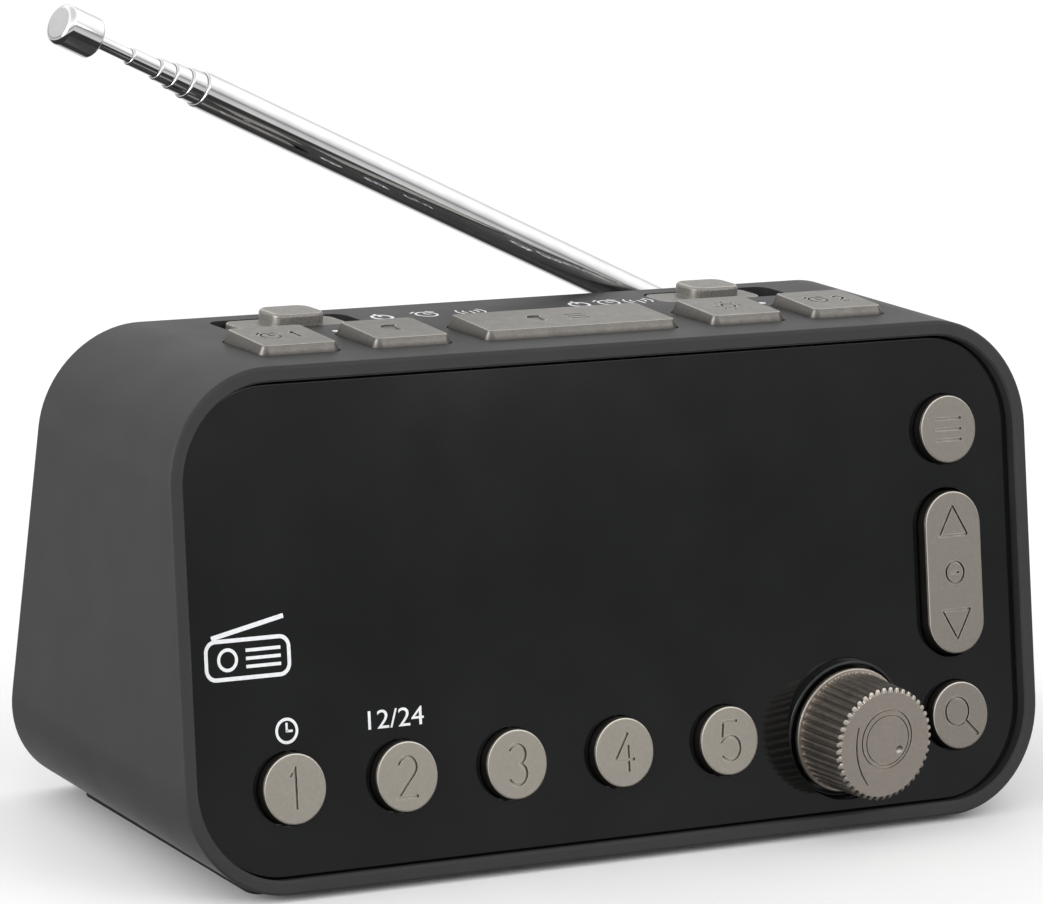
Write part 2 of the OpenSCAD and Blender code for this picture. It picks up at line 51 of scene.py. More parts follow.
# The cabinet. Its front and back lean in to the top. Its sides draw in and its top falls to the back
BODY_W, BODY_D, FACE_H = 155.0, 61.5, 77.7
FRONT_LEAN, BACK_LEAN, TOP_FALL, SIDE_DRAFT = 13.1, 4.4, 3.1, 1.43
FRONT_CORNER, REAR_CORNER = 17.2, 15.6
WALL, RIM, GAP = 2.4, 2.3, 0.25
FACE_EDGE, BACK_EDGE, MOUTH_EDGE = 0.6, 0.9, 0.3
FOOT_H, SET_BACK = 1.0, 1.3
FRONT_Y = SET_BACK - BODY_D / 2
TOP_Y = FACE_H * sin(radians(FRONT_LEAN))
TOP_Z = FACE_H * cos(radians(FRONT_LEAN))
REAR_Z = (TOP_Z - (BODY_D - TOP_Y) * tan(radians(TOP_FALL))) / (
    1 - tan(radians(BACK_LEAN)) * tan(radians(TOP_FALL))
)
REAR_H = REAR_Z / cos(radians(BACK_LEAN))
REAR_W = BODY_W - (2 * BODY_D - REAR_Z * tan(radians(BACK_LEAN))) * tan(radians(SIDE_DRAFT))

# The lens and the keys of the face, whose heights count from the foot of the face
LENS_FRONT, LENS_BACK, FRAME_BACK = -1.8, -3.3, -5.0
LENS_W, LENS_H = BODY_W - 2 * (RIM + GAP), FACE_H - 2 * (RIM + GAP)
LENS_CORNER = FRONT_CORNER - RIM - GAP
BUTTON_R, BUTTON_FRONT, BUTTON_SEAT, FLANGE = 5.4, -0.1, -5.2, 1.2
STEM_R, STEM_END = 1.7, -7.4
FIRST_U, PITCH = -58.9, 19.34
PRESETS = [FIRST_U + PITCH * i for i in range(5)]
COLUMN_U, ROW_V, MODE_V = 62.5, 15.6, 60.6
ROCKER_V, ROCKER_LEN, ROCKER_STEM, ROCKER_AXIS, ARROW_V = 38.1, 25.7, 9.0, -5.7, 7.4
KNOB_U, KNOB_V, KNOB_TILT = 41.5, 15.3, 10.5
COLLAR_R, KNOB_OUT = 10.86, 10.4

# How deep marks are cut into the face's keys and the top's keys, and how far prints sink in and stand out
ENGRAVED, TOP_ENGRAVED = 0.3, 0.22
PRINT_SUNK, PRINT_PROUD = 0.01, 0.015
RADIO_AT, CLOCK_AT, HOURS_AT = (-64.9, 35.3), (FIRST_U, 24.1), (-40.5, 24.2)

# The keys and slides of the top, counted from its front edge. The slides' plates are 0.3 mm shorter than
# those of the CAD
KEY_X = [-49.8, -30.2, 0.2, 30.8, 49.8]
KEY_W = [13.8, 13.8, 35.0, 13.8, 13.8]
KEY_MID_Y, KEY_D, KEY_CORNER, KEY_OUT, KEY_SEAT = 13.7, 12.4, 1.4, 1.65, -2.55
KEY_LEAN, KEY_FLANGE = 0.55, 0.7
SLOT_X = [-39.0, 39.9]
PLATE_X = [-39.0, 37.5]
SLOT_Y, SLOT_LEN, SLOT_W, SLOT_CORNER = 30.6, 24.0, 7.8, 2.2
PLATE_LEN, PLATE_W, PLATE_T, PLATE_CORNER = 18.7, 7.2, 0.9, 2.1
PEG, PEG_END = 2.0, -6.85
CAP_SHIFT, CAP_SIZE, CAP_OUT = 0.8, 9.0, 1.9

# The back: its cover, screws, jacks and speaker grille
COVER_OUT, COVER_IN, COVER_GAP = -0.6, -2.8, 0.4
SCREW_AT = (REAR_W / 2 - REAR_CORNER + 7.2, REAR_H / 2 - REAR_CORNER + 7.2)
SCREW_R, SCREW_END, SCREW_HOLE = 1.25, -11.0, 1.5
HEAD_R, HEAD_SEAT, HEAD_FRONT, RECESS_R = 2.7, -1.6, -0.7, 3.0
CROSS_ARM, CROSS_W, CROSS_FLOOR = 1.4, 0.6, -1.3
BOSS_R, BOSS_LEN = 3.4, 14.0
JACKS = [(-48.0, 5.2), (-35.0, 4.2)]
JACK_V = 14.0
SPEAKER_AT, GRILLE_R, GRILLE_STEP, GRILLE_SLOT = (26.0, 31.0), 22, 4, 1.8

# The foot strips
FOOT_X, FOOT_W, FOOT_D, FOOT_STEP = 61.0, 7.0, 52.0, 4

# The aerial. Each tube starts and ends at those distances from the hinge
AERIAL_X, AERIAL_V, AERIAL_OUT, SWING = 61.0, 59.0, 4.0, 23.8
SWIVEL_R, SHAFT_R, SHAFT_HOLE = 5.6, 2.95, 3.0
CHEEK_R, CHEEK_FROM, CHEEK_FOOT, PIN_HOLE = 3.1, 1.35, 0.8, 1.22
TUBE_R, TUBE_WALL = [(5.8 - 0.75 * i) / 2 for i in range(6)], 0.32
TUBE_ENDS = [(6.0, 123.5), (10.0, 126.2), (13.0, 129.1), (16.0, 131.9), (22.0, 137.1)]
CAP_R, AERIAL_CAP, AERIAL_LEN = 3.2, 144.1, 150.7


def turn(degrees, axis):
    return Matrix.Rotation(radians(degrees), 4, axis)


def shift(x, y, z=0.0):
    return Matrix.Translation((x, y, z))


# Planes of the body: each has +z out of its surface
ON_FACE = shift(0, FRONT_Y, FOOT_H) @ turn(90 - FRONT_LEAN, "X")
ON_TOP = shift(0, FRONT_Y + TOP_Y, FOOT_H + TOP_Z) @ turn(-TOP_FALL, "X")
ON_BACK = shift(0, FRONT_Y + BODY_D, FOOT_H) @ turn(180, "Z") @ turn(90 - BACK_LEAN, "X")
ON_KNOB = ON_FACE @ shift(KNOB_U, KNOB_V, LENS_FRONT) @ turn(KNOB_TILT, "X")
ON_AERIAL = ON_BACK @ shift(-AERIAL_X, AERIAL_V, AERIAL_OUT) @ turn(SWING, "Z")
ALONG_AERIAL = ON_AERIAL @ turn(90, "Y")


# ---- outlines: lists of points in a plane ----


def rounded(w, h, r, steps=14):
    """A rounded rectangle, anticlockwise from the upper end of its right side."""
    points = []
    for i, (sx, sy) in enumerate([(1, 1), (-1, 1), (-1, -1), (1, -1)]):
        for k in range(steps + 1):
            a = pi / 2 * (i + k / steps)
            points.append((sx * (w / 2 - r) + r * cos(a), sy * (h / 2 - r) + r * sin(a)))
    return points


def circle(r, steps=96):
    return [(r * cos(2 * pi * k / steps), r * sin(2 * pi * k / steps)) for k in range(steps)]


def arc(r, width, start, end, steps=48):
    """A curved strip of that width along a circle of radius r, between two angles."""
    angles = [radians(start + (end - start) * k / steps) for k in range(steps + 1)]
    outer = [((r + width / 2) * cos(a), (r + width / 2) * sin(a)) for a in angles]
    inner = [((r - width / 2) * cos(a), (r - width / 2) * sin(a)) for a in reversed(angles)]
    return outer + inner


def bar(x0, y0, x1, y1, width):
    """A straight strip of that width between two points."""
    along = Vector((x1 - x0, y1 - y0)).normalized()
    side = Vector((-along.y, along.x)) * width / 2
    a, b = Vector((x0, y0)), Vector((x1, y1))
    return [tuple(p) for p in (a - side, b - side, b + side, a + side)]


def bend(x, y, r, start, end, steps=20):
    """Points along a circle about (x, y), between two angles."""
    angles = [radians(start + (end - start) * k / steps) for k in range(steps + 1)]
    return [(x + r * cos(a), y + r * sin(a)) for a in angles]


def ribbon(points, width):
    """A strip of that width along a line of points, mitred at its corners."""
    left, right = [], []
    for i, point in enumerate(points):
        before = Vector(points[max(i - 1, 0)])
        after = Vector(points[min(i + 1, len(points) - 1)])
        here = Vector(point)
        first = (here - before if i else after - here).normalized()
        second = (after - here if i < len(points) - 1 else here - before).normalized()
        middle = (first + second).normalized()
        side = Vector((-middle.y, middle.x)) * width / 2 / max(middle.dot(first), 0.4)
        left.append(tuple(here + side))
        right.append(tuple(here - side))
    return right + left[::-1]


# ---- solids: closed meshes ----


def loft(rings, hollow=False):
    """Skins rings of equal length one after another, and closes the ends or joins them to each other."""
    bm = bmesh.new()
    loops = [[bm.verts.new(p) for p in ring] for ring in rings]
    pairs = list(zip(loops, loops[1:]))
    if hollow:
        pairs.append((loops[-1], loops[0]))
    for low, high in pairs:
        for i in range(len(low)):
            j = (i + 1) % len(low)
            bm.faces.new((low[i], low[j], high[j], high[i]))
    if not hollow:
        bm.faces.new(list(reversed(loops[0])))
        bm.faces.new(loops[-1])
    bmesh.ops.remove_doubles(bm, verts=bm.verts, dist=1e-5)
    bmesh.ops.recalc_face_normals(bm, faces=bm.faces)
    return bm


def prism(points, z0, z1):
    return loft([[(x, y, z) for x, y in points] for z in (z0, z1)])


def frame_prism(outer, inner, z0, z1):
    """The solid between two outlines of equal length."""
    rings = [(outer, z0), (outer, z1), (inner, z1), (inner, z0)]
    return loft([[(x, y, z) for x, y in points] for points, z in rings], hollow=True)


def lathe(profile, steps=96, hollow=False):
    """Turns a profile of (radius, height) points round the z axis."""
    return loft([[(x, y, z) for x, y in circle(r, steps)] for r, z in profile], hollow)


def fillet(radius, steps=5):
    """Pairs of (inset, drop) round an edge, from its side to its flat."""
    angles = [pi / 2 * k / steps for k in range(steps + 1)]
    return [(radius * (1 - cos(a)), radius * (1 - sin(a))) for a in angles]


def slab(w, h, r, z0, z1, edge=0.3, lean=0, lean_from=0.1):
    """A plate with rounded corners and a rounded upper edge, whose sides may lean in above a height."""
    levels = [(0, z0)] + ([(0, lean_from)] if lean else [])
    levels += [(lean + inset, z1 - drop) for inset, drop in fillet(edge)]
    outlines = [(rounded(w - 2 * i, h - 2 * i, max(r - i, 0.05)), z) for i, z in levels]
    return loft([[(x, y, z) for x, y in outline] for outline, z in outlines])


def round_end(r, z, edge, way=1):
    """Profile points of a turned part's end at height z, from its side to its flat."""
    return [(r - inset, z - way * drop) for inset, drop in fillet(edge)]


def placed(bm, matrix):
    bm.transform(matrix)
    return bm


def joined(*solids):
    whole = bmesh.new()
    for bm in solids:
        mesh = bpy.data.meshes.new("part")
        bm.to_mesh(mesh)
        bm.free()
        whole.from_mesh(mesh)
        bpy.data.meshes.remove(mesh)
    return whole


def as_object(bm, name):
    mesh = bpy.data.meshes.new(name)
    bm.to_mesh(mesh)
    bm.free()
    thing = bpy.data.objects.new(name, mesh)
    bpy.context.scene.collection.objects.link(thing)
    return thing


def cut(bm, *cutters):
    """Takes the cutters out of a solid, one after another."""
    body = as_object(bm, "cut_body")
    tools = [as_object(cutter, "cutter") for cutter in cutters]
    for tool in tools:
        modifier = body.modifiers.new("cut", "BOOLEAN")
        modifier.object, modifier.solver = tool, "EXACT"
    graph = bpy.context.evaluated_depsgraph_get()
    result = bmesh.new()
    result.from_object(body, graph)
    for thing in [body, *tools]:
        mesh = thing.data
        bpy.data.objects.remove(thing)
        bpy.data.meshes.remove(mesh)
    return result


def digits(text, height, z0, z1):
    """A solid of plain figures, centred, between two heights."""
    curve = bpy.data.curves.new("figures", "FONT")
    curve.body, curve.size = text, height / 0.7
    curve.align_x, curve.align_y = "CENTER", "CENTER"
    curve.extrude = (z1 - z0) / 2
    thing = bpy.data.objects.new("figures", curve)
    bpy.context.scene.collection.objects.link(thing)
    bm = bmesh.new()
    bm.from_mesh(thing.evaluated_get(bpy.context.evaluated_depsgraph_get()).to_mesh())
    bpy.data.objects.remove(thing)
    bpy.data.curves.remove(curve)
    bmesh.ops.remove_doubles(bm, verts=bm.verts, dist=1e-4)
    bm.transform(shift(0, 0, (z0 + z1) / 2))
    return bm


# ---- figures: the line of a pen for each, in a box 2.4 wide and 4 high about the middle ----

FIGURES = {
    "1": [[(-0.55, 1.25), (0.1, 2), (0.1, -2)]],
    "2": [bend(0, 0.95, 1.05, 165, -35) + [(-1.15, -2), (1.2, -2)]],
    "3": [bend(0, 1.0, 1.0, 155, -75), bend(0, -0.95, 1.08, 75, -155)],
    "4": [[(0.45, 2), (-1.2, -0.75), (1.2, -0.75)], [(0.45, 0.75), (0.45, -2)]],
    "5": [[(1.0, 2), (-0.75, 2), (-0.95, 0.1)] + bend(0, -0.75, 1.25, 120, -145)],
}


def figure(name, height, z0, z1, width=0.46):
    """A figure that is drawn with one pen, between two heights."""
    scale = height / 4
    lines = [[(x * scale, y * scale) for x, y in line] for line in FIGURES[name]]
    return [prism(ribbon(line, width), z0, z1) for line in lines]


# ---- marks: small flat signs, drawn about their middle between two heights ----


def moved(points, dx, dy):
    return [(x + dx, y + dy) for x, y in points]


def strokes(z0, z1, *bars, width=0.35):
    """Straight strips, each given by its two ends."""
    return [prism(bar(*ends, width), z0, z1) for ends in bars]


def ring(r, z0, z1, width=0.35, steps=64):
    """A flat ring of that width about a circle of radius r."""
    return frame_prism(circle(r + width / 2, steps), circle(r - width / 2, steps), z0, z1)


def triangle_mark(r, z0, z1, up=True):
    way = 1 if up else -1
    a, b, c = (-0.87 * r, -0.5 * r * way), (0.87 * r, -0.5 * r * way), (0, r * way)
    return strokes(z0, z1, (*a, *b), (*b, *c), (*c, *a))


def clock_mark(r, z0, z1):
    """An alarm clock with its two bells."""
    hands = strokes(z0, z1, (0, -0.1, 0, 0.6 * r), (-0.1, 0, 0.5 * r, 0))
    bells = strokes(z0, z1, (-1.25 * r, 0.8 * r, -0.6 * r, 1.3 * r), (0.6 * r, 1.3 * r, 1.25 * r, 0.8 * r))
    return [ring(r, z0, z1)] + hands + bells


def moon_mark(r, z0, z1):
    """A crescent: the outer arc, and the inner arc that meets its ends."""
    outer = [(r * cos(a), r * sin(a)) for a in [radians(50 + 26 * k / 2) for k in range(21)]]
    reach = (Vector(outer[0]) - Vector(outer[-1])).length / 2
    middle = (Vector(outer[0]) + Vector(outer[-1])) / 2
    away = (Vector((0, 0)) - middle).normalized()
    side = (Vector(outer[-1]) - Vector(outer[0])).normalized()
    inner = []
    for k in range(1, 16):
        a = pi * k / 16
        inner.append(tuple(middle + side * reach * cos(a) + away * 0.55 * reach * sin(a)))
    return [prism(outer + inner, z0, z1)]


def sun_mark(r, z0, z1):
    """A ring with eight rays."""
    rays = []
    for k in range(8):
        c, s = cos(pi * k / 4), sin(pi * k / 4)
        rays.append((1.5 * r * c, 1.5 * r * s, 2.2 * r * c, 2.2 * r * s))
    return [ring(r, z0, z1)] + strokes(z0, z1, *rays)


def bars_mark(size, z0, z1, count=3):
    """Level bars, one above another."""
    step = size / count
    lines = [(-size / 2, step * (k - 1), size / 2, step * (k - 1)) for k in range(count)]
    return strokes(z0, z1, *lines, width=0.4)


def glass_mark(r, z0, z1):
    """A magnifying glass."""
    lens = placed(ring(r, z0, z1), shift(-0.3 * r, 0.3 * r))
    return [lens] + strokes(z0, z1, (0.45 * r, -0.45 * r, 1.5 * r, -1.5 * r), width=0.6)


def waves_mark(r, z0, z1):
    """A mast with waves to both sides of it."""
    mast = strokes(z0, z1, (0, -1.2 * r, 0, 0.2 * r), width=0.3)
    arcs = [arc(r * k, 0.3, side - 40, side + 40, 12) for k in (0.7, 1.3) for side in (0, 180)]
    return mast + [prism(points, z0, z1) for points in arcs]


def at(solids, x, y):
    return [placed(bm, shift(x, y)) for bm in solids]


# ---- finishes ----


def linear(shade):
    """A screen colour of 0 to 255 as a shader's colour."""
    parts = [c / 255 for c in shade]
    return [c / 12.92 if c <= 0.04045 else ((c + 0.055) / 1.055) ** 2.4 for c in parts] + [1.0]


class Finish:
    """A procedural material: two shades mottled together, with its own roughness, grain and a lighter tone
    on sharp edges that stands for wear, and on the keys also paints a highlight.
    """

    def __init__(self, name, metallic=0.0, specular=0.5, coat=0.0):
        self.material = bpy.data.materials.new(name)
        self.material.use_nodes = True
        self.tree = self.material.node_tree
        self.shader = self.tree.nodes["Principled BSDF"]
        self.shader.inputs["Metallic"].default_value = metallic
        self.shader.inputs["Specular IOR Level"].default_value = specular
        self.shader.inputs["Coat Weight"].default_value = coat
        self.place = self.add("ShaderNodeTexCoord").outputs["Object"]
        self.bump = None

    def add(self, kind, **values):
        node = self.tree.nodes.new(kind)
        for name, value in values.items():
            setattr(node, name, value)
        return node

    def link(self, output, entry):
        self.tree.links.new(output, entry)

    def noise(self, size_mm, detail=4.0, stretch=(1, 1, 1)):
        """Noise whose features are about that many millimetres across."""
        mapping = self.add("ShaderNodeMapping")
        mapping.inputs["Scale"].default_value = stretch
        self.link(self.place, mapping.inputs["Vector"])
        node = self.add("ShaderNodeTexNoise")
        node.inputs["Scale"].default_value = 1000 / size_mm
        node.inputs["Detail"].default_value = detail
        self.link(mapping.outputs["Vector"], node.inputs["Vector"])
        return node.outputs["Fac"]

    def spread(self, value, low, high):
        """Stretches the middle of a noise over a range."""
        node = self.add("ShaderNodeMapRange")
        node.inputs["From Min"].default_value, node.inputs["From Max"].default_value = 0.3, 0.7
        node.inputs["To Min"].default_value, node.inputs["To Max"].default_value = low, high
        self.link(value, node.inputs["Value"])
        return node.outputs["Result"]

    def blend(self, factor, a, b):
        node = self.add("ShaderNodeMix", data_type="RGBA")
        self.link(factor, node.inputs["Factor"])
        for entry, colour in ((node.inputs["A"], a), (node.inputs["B"], b)):
            if isinstance(colour, bpy.types.NodeSocket):
                self.link(colour, entry)
            else:
                entry.default_value = colour
        return node.outputs["Result"]

    def edges(self, radius_mm):
        """One where the surface turns sharply within that radius, and nothing on a flat."""
        soft = self.add("ShaderNodeBevel", samples=4)
        soft.inputs["Radius"].default_value = radius_mm / 1000
        sharp = self.add("ShaderNodeNewGeometry")
        dot = self.add("ShaderNodeVectorMath", operation="DOT_PRODUCT")
        self.link(soft.outputs["Normal"], dot.inputs[0])
        self.link(sharp.outputs["Normal"], dot.inputs[1])
        ramp = self.add("ShaderNodeMapRange")
        ramp.inputs["From Min"].default_value, ramp.inputs["From Max"].default_value = 0.995, 0.93
        self.link(dot.outputs["Value"], ramp.inputs["Value"])
        return ramp.outputs["Result"]

    def shades(self, dark, light, size_mm=3.0, edge_wear_and_highlight=None, edge_reach=0.3):
        colour = self.blend(self.spread(self.noise(size_mm), 0, 1), linear(dark), linear(light))
        # A lighter tone on sharp edges: wear, and on the keys also a painted highlight along the ridge
        if edge_wear_and_highlight:
            broken = self.add("ShaderNodeMath", operation="MULTIPLY")
            self.link(self.edges(edge_reach), broken.inputs[0])
            self.link(self.spread(self.noise(1.2), 0.1, 0.9), broken.inputs[1])
            colour = self.blend(broken.outputs["Value"], colour, linear(edge_wear_and_highlight))
        self.link(colour, self.shader.inputs["Base Color"])
        return self

    def rough(self, low, high, size_mm=5.0):
        self.link(self.spread(self.noise(size_mm), low, high), self.shader.inputs["Roughness"])
        return self

    def grain(self, size_mm, height_mm, stretch=(1, 1, 1), detail=4.0):
        """A bump of that size and height. Grains laid one over another add up."""
        bump = self.add("ShaderNodeBump")
        bump.inputs["Strength"].default_value = 1.0
        bump.inputs["Distance"].default_value = height_mm / 1000
        self.link(self.noise(size_mm, detail, stretch), bump.inputs["Height"])
        if self.bump:
            self.link(self.bump, bump.inputs["Normal"])
        self.bump = bump.outputs["Normal"]
        self.link(self.bump, self.shader.inputs["Normal"])
        return self


def cabinet_paint():
    finish = Finish("cabinet_paint", specular=0.26)
    finish.shades((51, 51, 51), (54, 54, 54), 6, edge_wear_and_highlight=(74, 73, 72), edge_reach=0.25)
    return finish.rough(0.44, 0.5, 9).grain(0.35, 0.004).grain(0.09, 0.002).material


def lens_black():
    finish = Finish("lens_black", specular=0.5)
    finish.shades((12, 13, 13), (19, 20, 20), 14)
    return finish.rough(0.05, 0.11, 18).grain(14, 0.006, detail=2).grain(0.8, 0.0006).material


def black_plastic(name="black_plastic", dark=(22, 23, 23), light=(32, 33, 33), low=0.35, high=0.5):
    finish = Finish(name, specular=0.45)
    finish.shades(dark, light, 2, edge_wear_and_highlight=(62, 61, 59))
    return finish.rough(low, high).grain(0.25, 0.006).material


def satin_nickel(name="satin_nickel", dark=(168, 162, 152), light=(175, 169, 159), size=0.5):
    finish = Finish(name, metallic=0.95, specular=0.5)
    finish.shades(dark, light, size, edge_wear_and_highlight=(228, 222, 210), edge_reach=0.22)
    return finish.rough(0.36, 0.46, 1.5).grain(0.32, 0.012).grain(0.1, 0.004).material


def key_paint():
    finish = Finish("key_paint", metallic=0.45, specular=0.5)
    # The bright tone on the keys' sharp edges is partly wear and partly a painted highlight along their
    # ridges
    finish.shades((130, 127, 122), (137, 134, 129), 0.7, edge_wear_and_highlight=(206, 202, 194), edge_reach=0.5)
    return finish.rough(0.42, 0.55, 2).grain(0.4, 0.014).grain(0.12, 0.005).material


def sparkle():
    finish = Finish("slider_cap_grain", metallic=0.6, specular=0.6)
    finish.shades((124, 120, 115), (150, 147, 141), 0.3, edge_wear_and_highlight=(196, 192, 184), edge_reach=0.5)
    return finish.rough(0.3, 0.55, 0.4).grain(0.4, 0.03).grain(0.15, 0.01).material


def chrome():
    finish = Finish("chrome", metallic=1.0)
    finish.shades((226, 226, 226), (238, 238, 239), 4)
    return finish.rough(0.04, 0.09, 3).grain(1.5, 0.0006, stretch=(0.2, 1, 1)).material


def bright_steel():
    finish = Finish("bright_steel", metallic=1.0)
    finish.shades((170, 170, 172), (196, 196, 198), 1)
    return finish.rough(0.2, 0.32, 1).grain(0.2, 0.004, stretch=(1, 1, 6)).material


def dark_steel():
    finish = Finish("dark_steel", metallic=0.8)
    finish.shades((48, 48, 50), (64, 64, 66), 0.8, edge_wear_and_highlight=(120, 120, 122))
    return finish.rough(0.3, 0.45, 1).grain(0.2, 0.004).material


def white_print():
    finish = Finish("white_print", specular=0.4)
    finish.shades((232, 233, 236), (246, 247, 250), 0.6)
    return finish.rough(0.35, 0.5, 1).grain(0.15, 0.002).material


def rubber():
    finish = Finish("foot_rubber", specular=0.3)
    finish.shades((24, 24, 24), (34, 34, 34), 1.5)
    return finish.rough(0.7, 0.85).grain(0.2, 0.01).material


def plain(name, dark, light, metallic=0.0, low=0.35, high=0.55, size=1.5):
    """The finish of a piece that shows only when the radio is opened."""
    finish = Finish(name, metallic=metallic)
    finish.shades(dark, light, size, edge_wear_and_highlight=[min(255, c + 30) for c in light])
    return finish.rough(low, high, size).grain(size / 4, 0.004).material


PAINT, LENS, BLACK = cabinet_paint(), lens_black(), black_plastic()
COVER = black_plastic("cover_plastic", (40, 40, 41), (50, 50, 51), 0.5, 0.65)
COLLAR = black_plastic("collar_plastic", (17, 18, 18), (25, 26, 26), 0.22, 0.34)
NICKEL, KEYS, SPARKLE, CHROME = satin_nickel(), key_paint(), sparkle(), chrome()
KNOB = satin_nickel("knob_nickel", (180, 171, 161), (188, 179, 169), 0.6)
# A lighter copy of the nickel for the rounded front edge of the face's buttons: a painted highlight
NICKEL_RIM_HIGHLIGHT = satin_nickel("nickel_rim_painted_highlight", (222, 217, 206), (232, 227, 217))
# A darker copy of the nickel for the buttons' steep sides: painted shade
NICKEL_SIDE_SHADE = satin_nickel("nickel_side_painted_shade", (74, 71, 67), (82, 79, 75))
# A darker copy of the nickel for the mode, search and rocker buttons: painted shade for the dimmer light on
# that column
COLUMN_SHADED_NICKEL = satin_nickel("column_nickel_painted_shade", (145, 139, 131), (152, 146, 138))
# A lighter copy for the rounded upper edges of the top keys and slide caps: a painted highlight
KEY_RIM_HIGHLIGHT = satin_nickel("key_rim_painted_highlight", (190, 186, 179), (202, 198, 191))
# A darker copy of the knob's nickel for its ribbed side: painted shade
KNOB_SIDE_SHADE = satin_nickel("knob_side_painted_shade", (150, 143, 136), (158, 151, 144))
# A lighter copy of the knob's nickel for its rounded edges: a painted highlight
KNOB_RIM_HIGHLIGHT = satin_nickel("knob_rim_painted_highlight", (196, 188, 178), (204, 196, 186))
# A darker copy for the steep sides and bevels of the top keys: painted shade
KEY_SIDE_SHADE = satin_nickel("key_side_painted_shade", (112, 109, 105), (122, 119, 115))
STEEL, DARK_STEEL, WHITE, RUBBER = bright_steel(), dark_steel(), white_print(), rubber()


# A face counts as rounded where its normal's height is under the first, and as steep up to the second.
# Rounded faces take a painted highlight, and steep ones painted shade
ROUNDED, STEEP = 0.93, 0.72


def piece(name, bm, plane, finish, body, *nodes, slot=None, crisp=35, rim_highlight=None, side=None):
    """Makes a visible piece of a solid drawn in a plane, and lets it stand for its CAD nodes.

    A rim finish, a lighter copy that paints a highlight, goes on the faces that round off the front edge,
    and a side finish, a darker copy that paints shade, on the steep ones.
    """
    # Paints a highlight on the rounded faces and shade on the steep ones, by the finish each face takes
    if rim_highlight:
        bm.normal_update()
        for face in bm.faces:
            steep = face.normal.z <= STEEP
            face.material_index = (2 if side else 0) if steep else int(face.normal.z < ROUNDED)
    bm.transform(Matrix.Scale(0.001, 4) @ plane)
    thing = as_object(bm, name)
    mesh = thing.data
    mesh.materials.append(finish)
    if rim_highlight:
        mesh.materials.append(rim_highlight)
    if side:
        mesh.materials.append(side)
    mesh.polygons.foreach_set("use_smooth", [True] * len(mesh.polygons))
    mesh.set_sharp_from_angle(angle=radians(crisp))
    weighted = thing.modifiers.new("weighted", "WEIGHTED_NORMAL")
    weighted.keep_sharp = True
    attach(thing, body)
    if nodes:
        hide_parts(*nodes)
    return thing


# ---- cabinet, lens and cover ----


def sleeve_ring(way, inset):
    """The cabinet's outline part of the way from its face to its back, in the radio's frame."""
    points = []
    front = rounded(BODY_W - 2 * inset, FACE_H - 2 * inset, FRONT_CORNER - inset, 20)
    rear = rounded(REAR_W - 2 * inset, REAR_H - 2 * inset, REAR_CORNER - inset, 20)
    for (u, v), (x, w) in zip(front, rear):
        a = ON_FACE @ Vector((u, v + FACE_H / 2, 0))
        b = ON_BACK @ Vector((-x, w + REAR_H / 2, 0))
        points.append(a + (b - a) * way)
    return points


def face_ring(w, h, r, z):
    return [ON_FACE @ Vector((x, y + FACE_H / 2, z)) for x, y in rounded(w, h, r, 20)]


def back_ring(w, h, r, z):
    """A ring on the back, in the same order as the rings of the face."""
    return [ON_BACK @ Vector((-x, y + REAR_H / 2, z)) for x, y in rounded(w, h, r, 20)]


# The corners of the back, each as its side and its row
CORNERS = [(-1, -1), (-1, 1), (1, -1), (1, 1)]


def screw_place(side, row):
    return shift(side * SCREW_AT[0], REAR_H / 2 + row * SCREW_AT[1])


def top_hole(outline, x, y):
    """A cutter of that outline through the top."""
    return placed(prism(outline, -6, 3), ON_TOP @ shift(x, y))


def build_cabinet():
    """The sleeve round the radio, with the holes of its top and the bosses of the cover's screws."""
    rings = [sleeve_ring(drop / BODY_D, inset) for inset, drop in reversed(fillet(FACE_EDGE))]
    rings += [sleeve_ring(1 - drop / BODY_D, inset) for inset, drop in fillet(BACK_EDGE)]
    for edge in (MOUTH_EDGE, 0.0):
        w, h = REAR_W - 2 * WALL + 2 * edge, REAR_H - 2 * WALL + 2 * edge
        rings.append(back_ring(w, h, REAR_CORNER - WALL + edge, edge - MOUTH_EDGE))
    w, h, r = BODY_W - 2 * RIM, FACE_H - 2 * RIM, FRONT_CORNER - RIM
    rings.append(face_ring(w, h, r, FRAME_BACK))
    for edge in (0.0, MOUTH_EDGE):
        rings.append(face_ring(w + 2 * edge, h + 2 * edge, r + edge, edge - MOUTH_EDGE))
    holes = []
    for x, w in zip(KEY_X, KEY_W):
        outline = rounded(w + 2 * GAP, KEY_D + 2 * GAP, KEY_CORNER + GAP)
        holes.append(top_hole(outline, x, KEY_MID_Y))
    for x in SLOT_X:
        holes.append(top_hole(rounded(SLOT_LEN, SLOT_W, SLOT_CORNER), x, SLOT_Y))
    shell = cut(loft(rings, hollow=True), *holes)
    deep = COVER_IN - BOSS_LEN
    boss = [(BOSS_R, deep), (BOSS_R, COVER_IN), (SCREW_R, COVER_IN), (SCREW_R, deep)]
    bosses = [placed(lathe(boss, 32, hollow=True), ON_BACK @ screw_place(*corner)) for corner in CORNERS]
    return joined(shell, *bosses)


piece("cabinet_shell", build_cabinet(), Matrix.Identity(4), PAINT, "housing", "cabinet",
      slot="cabinet_paint")


def key_holes(z0, z1):
    """Cutters for the round buttons, the rocker and the knob's collar."""
    holes = [(u, ROW_V) for u in PRESETS] + [(COLUMN_U, ROW_V), (COLUMN_U, MODE_V)]
    cutters = [placed(prism(circle(BUTTON_R + GAP), z0, z1), shift(u, v)) for u, v in holes]
    rocker = prism(rounded(2 * BUTTON_R + 0.8, ROCKER_LEN + 1, BUTTON_R + 0.3), z0, z1)
    cutters.append(placed(rocker, shift(COLUMN_U, ROCKER_V)))
    knob = prism(circle(COLLAR_R + 0.05), -8, 6)
    cutters.append(placed(knob, ON_FACE.inverted() @ ON_KNOB))
    return cutters


